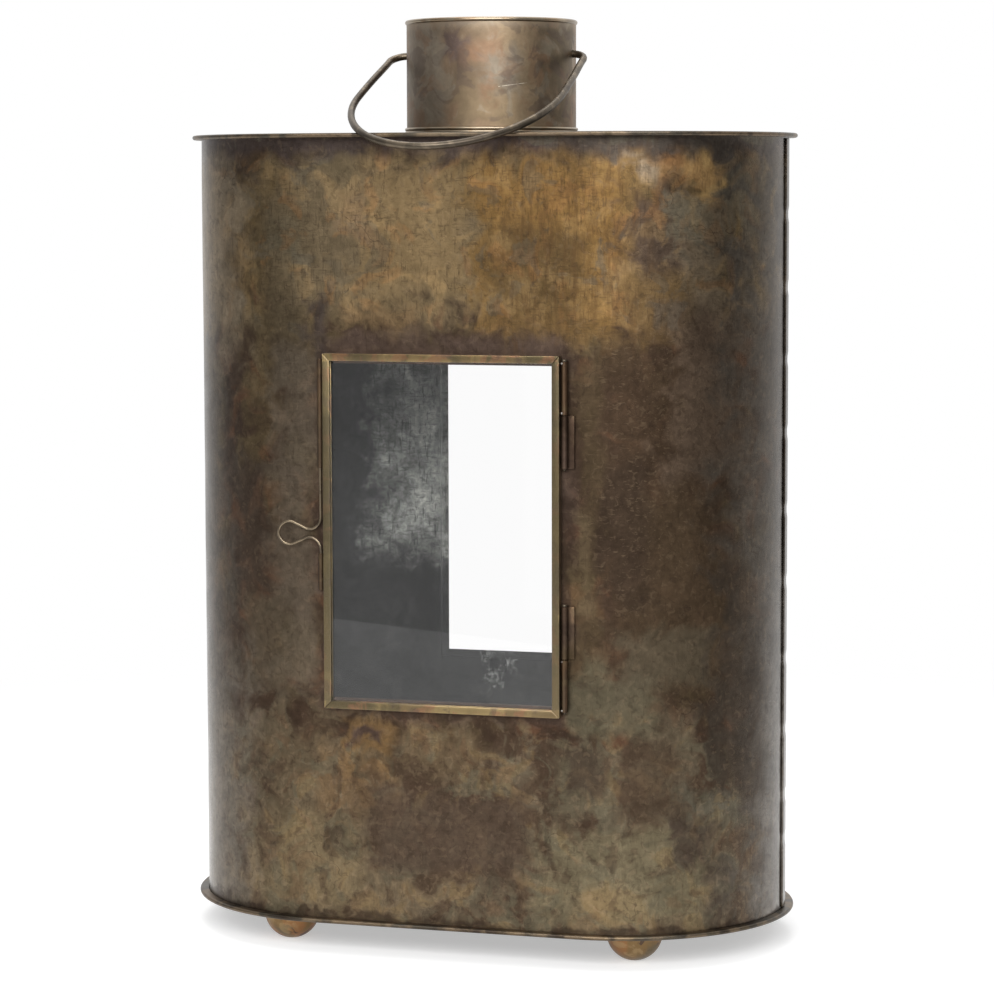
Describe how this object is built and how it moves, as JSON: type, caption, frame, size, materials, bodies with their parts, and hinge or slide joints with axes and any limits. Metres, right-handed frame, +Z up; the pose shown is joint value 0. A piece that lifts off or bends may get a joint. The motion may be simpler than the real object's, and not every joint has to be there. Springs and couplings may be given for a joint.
{
  "type": "lantern",
  "caption": "Flask-shaped sheet-brass candle lantern with a hinged glazed door, rear window, round chimney, wire bail and domed feet.",
  "frame": {"origin": "on the surface that the feet stand on, under the middle of the box round the whole lantern with its bail laid forward; the case's own middle is 12.9 mm behind it", "axes": "+Z up, -Y the way the door faces, +X towards the door's hinges"},
  "size_m": [0.335, 0.2157, 0.4975],
  "materials": {
    "case_brass": "aged, mottled brown and gold patina, scratched",
    "rim_brass": "dark aged brass, worn along the fold",
    "chimney_brass": "aged brass with grey and copper patches, satin",
    "door_brass": "yellow brass with heat tints, satin",
    "foot_brass": "aged brass, rubbed",
    "dark_wire": "dark drawn wire, worn bright on the outside of the bends",
    "pane": "clear, slightly smudged"
  },
  "bodies": {
    "case": {"case_wall": "case_brass", "top_plate": "rim_brass", "bottom_plate": "rim_brass", "foot_front_left": "foot_brass", "foot_front_right": "foot_brass", "foot_rear_left": "foot_brass", "foot_rear_right": "foot_brass", "foot_rivet_front_left": "foot_brass", "foot_rivet_front_right": "foot_brass", "foot_rivet_rear_left": "foot_brass", "foot_rivet_rear_right": "foot_brass", "chimney_tube": "chimney_brass", "chimney_bead": "chimney_brass", "chimney_foot_ring": "chimney_brass", "case_knuckle_lower": "door_brass", "case_knuckle_upper": "door_brass", "hinge_pin_lower": "dark_wire", "hinge_pin_upper": "dark_wire", "rear_glass": "pane", "rear_clip_lower_left": "rim_brass", "rear_clip_lower_right": "rim_brass", "rear_clip_upper_left": "rim_brass", "rear_clip_upper_right": "rim_brass"},
    "door": {"door_channel_left": "door_brass", "door_channel_right": "door_brass", "door_channel_bottom": "door_brass", "door_channel_top": "door_brass", "door_glass": "pane", "door_knuckle_lower": "door_brass", "door_knuckle_upper": "door_brass", "pull_tube_lower": "door_brass", "pull_tube_upper": "door_brass"},
    "pull": {"pull_wire": "dark_wire"},
    "bail": {"bail_handle": "dark_wire"}
  },
  "joints": [
    {"name": "door_hinge", "type": "hinge", "parent": "case", "child": "door", "pos_m": [0.067, -0.07989, 0.2266], "axis": [0, 0, 1], "range_deg": [0, 145]},
    {"name": "pull_swing", "type": "hinge", "parent": "door", "child": "pull", "pos_m": [-0.0668, -0.07989, 0.2254], "axis": [0, 0, 1], "range_deg": [0, 100]},
    {"name": "bail_swing", "type": "hinge", "parent": "case", "child": "bail", "pos_m": [0, 0.01291, 0.479], "axis": [-1, 0, 0], "range_deg": [0, 226]}
  ]
}
